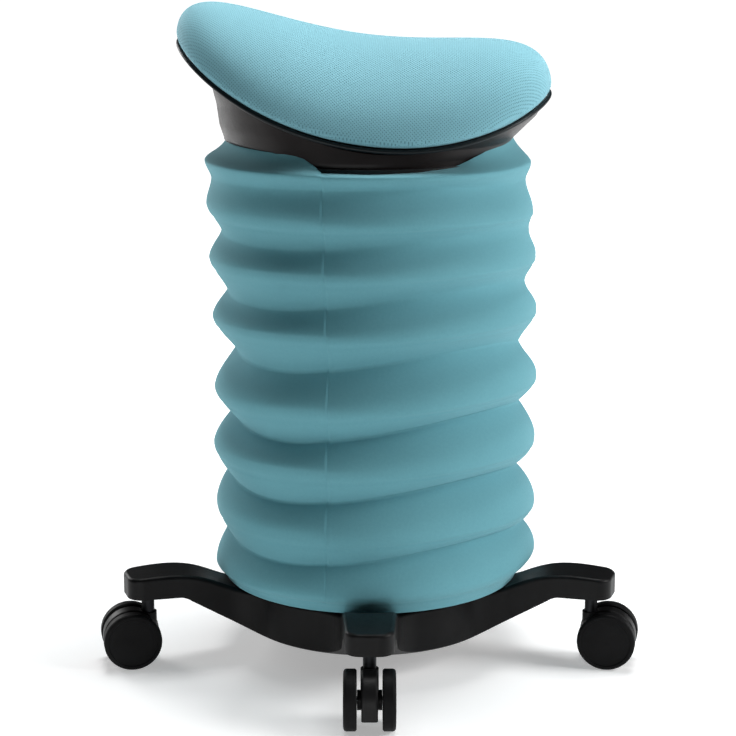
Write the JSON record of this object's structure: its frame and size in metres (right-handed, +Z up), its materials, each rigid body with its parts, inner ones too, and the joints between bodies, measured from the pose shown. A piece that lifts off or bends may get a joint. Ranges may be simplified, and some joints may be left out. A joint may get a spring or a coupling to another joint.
{
  "type": "wobble stool",
  "caption": "Active sitting stool: padded saddle seat on a sprung, tilting column inside a ringed fabric bellows, on a low star base with twin-wheel casters.",
  "frame": {"origin": "on the floor, on the axis of the column and the turntable", "axes": "+Z up along the column; -Y towards the front arm of the base; +X to the right seen from the front; the saddle is long along X"},
  "size_m": [0.47, 0.4594, 0.5639],
  "materials": {
    "base_nylon": "satin",
    "caster_nylon": "satin",
    "wheel_nylon": "matte",
    "black_steel": "satin",
    "bright_steel": "satin",
    "chromed_rod": "polished",
    "cast_alloy": "cast",
    "bronze": "satin",
    "white_nylon": "matte",
    "rubber": "matte",
    "black_plastic": "matte",
    "sleeve_fabric": "knit",
    "seat_mesh": "spacer mesh",
    "foam": "foam",
    "piping": "satin",
    "vinyl": "gloss"
  },
  "bodies": {
    "base": {"star_base": "base_nylon", "caster_sockets": "bright_steel", "caster_stems": "black_steel", "stem_grip_rings": "bright_steel", "lower_race": "bright_steel", "ball_cage": "white_nylon", "bearing_balls": "bright_steel", "king_pin_bush": "bronze"},
    "turntable": {"swivel_plate": "black_steel", "upper_race": "bright_steel", "king_pin": "bright_steel", "king_pin_nut": "bright_steel", "lower_yoke": "cast_alloy", "lower_yoke_bolts": "bright_steel", "lower_yoke_bushes": "bronze", "sleeve_bottom_ring": "black_plastic", "lean_buffer": "rubber", "bellows_sleeve": "sleeve_fabric", "sleeve_hoops": "bright_steel"},
    "cross": {"joint_cross": "bright_steel"},
    "column": {"upper_yoke": "cast_alloy", "upper_yoke_bushes": "bronze", "lower_spring_seat": "black_steel", "guide_tube": "black_steel", "guide_bushes": "white_nylon", "bump_stop": "rubber", "coil_spring": "black_steel"},
    "saddle": {"inner_rod": "chromed_rod", "rod_stop_ring": "bright_steel", "upper_spring_seat": "black_steel", "carrier_disc": "black_plastic", "sleeve_top_ring": "black_plastic", "seat_plate": "black_steel", "seat_bolts": "bright_steel", "threaded_inserts": "bright_steel", "seat_pan": "black_plastic", "seat_foam": "foam", "seat_cover": "seat_mesh", "seat_piping": "piping", "seat_skirt": "vinyl"},
    "caster_1": {"caster_hood_1": "caster_nylon", "axle_1": "bright_steel"},
    "roller_1a": {"wheel_1a": "wheel_nylon"},
    "roller_1b": {"wheel_1b": "wheel_nylon"},
    "caster_2": {"caster_hood_2": "caster_nylon", "axle_2": "bright_steel"},
    "roller_2a": {"wheel_2a": "wheel_nylon"},
    "roller_2b": {"wheel_2b": "wheel_nylon"},
    "caster_3": {"caster_hood_3": "caster_nylon", "axle_3": "bright_steel"},
    "roller_3a": {"wheel_3a": "wheel_nylon"},
    "roller_3b": {"wheel_3b": "wheel_nylon"},
    "caster_4": {"caster_hood_4": "caster_nylon", "axle_4": "bright_steel"},
    "roller_4a": {"wheel_4a": "wheel_nylon"},
    "roller_4b": {"wheel_4b": "wheel_nylon"},
    "caster_5": {"caster_hood_5": "caster_nylon", "axle_5": "bright_steel"},
    "roller_5a": {"wheel_5a": "wheel_nylon"},
    "roller_5b": {"wheel_5b": "wheel_nylon"}
  },
  "joints": [
    {"name": "seat_swivel", "type": "hinge", "parent": "base", "child": "turntable", "pos_m": [0, 0, 0.05], "axis": [0, 0, 1], "continuous": true},
    {"name": "lean_fore_aft", "type": "hinge", "parent": "turntable", "child": "cross", "pos_m": [0, 0, 0.1], "axis": [1, 0, 0], "range_deg": [-9, 9], "stiffness_Nm_per_rad": 170, "deforming": ["lean_buffer", "bellows_sleeve", "sleeve_hoops"]},
    {"name": "lean_side", "type": "hinge", "parent": "cross", "child": "column", "pos_m": [0, 0, 0.1], "axis": [0, 1, 0], "range_deg": [-9, 9], "stiffness_Nm_per_rad": 170, "deforming": ["lean_buffer", "bellows_sleeve", "sleeve_hoops"]},
    {"name": "seat_bounce", "type": "slide", "parent": "column", "child": "saddle", "axis": [0, 0, 1], "range_m": [-0.06, 0], "stiffness_N_per_m": 12000, "springref_m": 0.01, "deforming": ["coil_spring", "bellows_sleeve", "sleeve_hoops"]},
    {"name": "caster_swivel_1", "type": "hinge", "parent": "base", "child": "caster_1", "pos_m": [0, -0.202, 0.035], "axis": [0, 0, 1], "continuous": true},
    {"name": "wheel_spin_1a", "type": "hinge", "parent": "caster_1", "child": "roller_1a", "pos_m": [0, -0.217, 0.025], "axis": [1, 0, 0], "continuous": true},
    {"name": "wheel_spin_1b", "type": "hinge", "parent": "caster_1", "child": "roller_1b", "pos_m": [0, -0.217, 0.025], "axis": [1, 0, 0], "continuous": true},
    {"name": "caster_swivel_2", "type": "hinge", "parent": "base", "child": "caster_2", "pos_m": [0.19211, -0.06242, 0.035], "axis": [0, 0, 1], "continuous": true},
    {"name": "wheel_spin_2a", "type": "hinge", "parent": "caster_2", "child": "roller_2a", "pos_m": [0.20684, -0.06528, 0.025], "axis": [0.1908, 0.9816, 0], "continuous": true},
    {"name": "wheel_spin_2b", "type": "hinge", "parent": "caster_2", "child": "roller_2b", "pos_m": [0.20684, -0.06528, 0.025], "axis": [0.1908, 0.9816, 0], "continuous": true},
    {"name": "caster_swivel_3", "type": "hinge", "parent": "base", "child": "caster_3", "pos_m": [0.10404, 0.17315, 0.035], "axis": [0, 0, 1], "continuous": true},
    {"name": "wheel_spin_3a", "type": "hinge", "parent": "caster_3", "child": "roller_3a", "pos_m": [0.11176, 0.18601, 0.025], "axis": [-0.8572, 0.515, 0], "continuous": true},
    {"name": "wheel_spin_3b", "type": "hinge", "parent": "caster_3", "child": "roller_3b", "pos_m": [0.11176, 0.18601, 0.025], "axis": [-0.8572, 0.515, 0], "continuous": true},
    {"name": "caster_swivel_4", "type": "hinge", "parent": "base", "child": "caster_4", "pos_m": [-0.10404, 0.17315, 0.035], "axis": [0, 0, 1], "continuous": true},
    {"name": "wheel_spin_4a", "type": "hinge", "parent": "caster_4", "child": "roller_4a", "pos_m": [-0.11176, 0.18601, 0.025], "axis": [-0.8572, -0.515, 0], "continuous": true},
    {"name": "wheel_spin_4b", "type": "hinge", "parent": "caster_4", "child": "roller_4b", "pos_m": [-0.11176, 0.18601, 0.025], "axis": [-0.8572, -0.515, 0], "continuous": true},
    {"name": "caster_swivel_5", "type": "hinge", "parent": "base", "child": "caster_5", "pos_m": [-0.19211, -0.06242, 0.035], "axis": [0, 0, 1], "continuous": true},
    {"name": "wheel_spin_5a", "type": "hinge", "parent": "caster_5", "child": "roller_5a", "pos_m": [-0.20684, -0.06528, 0.025], "axis": [0.1908, -0.9816, 0], "continuous": true},
    {"name": "wheel_spin_5b", "type": "hinge", "parent": "caster_5", "child": "roller_5b", "pos_m": [-0.20684, -0.06528, 0.025], "axis": [0.1908, -0.9816, 0], "continuous": true}
  ]
}
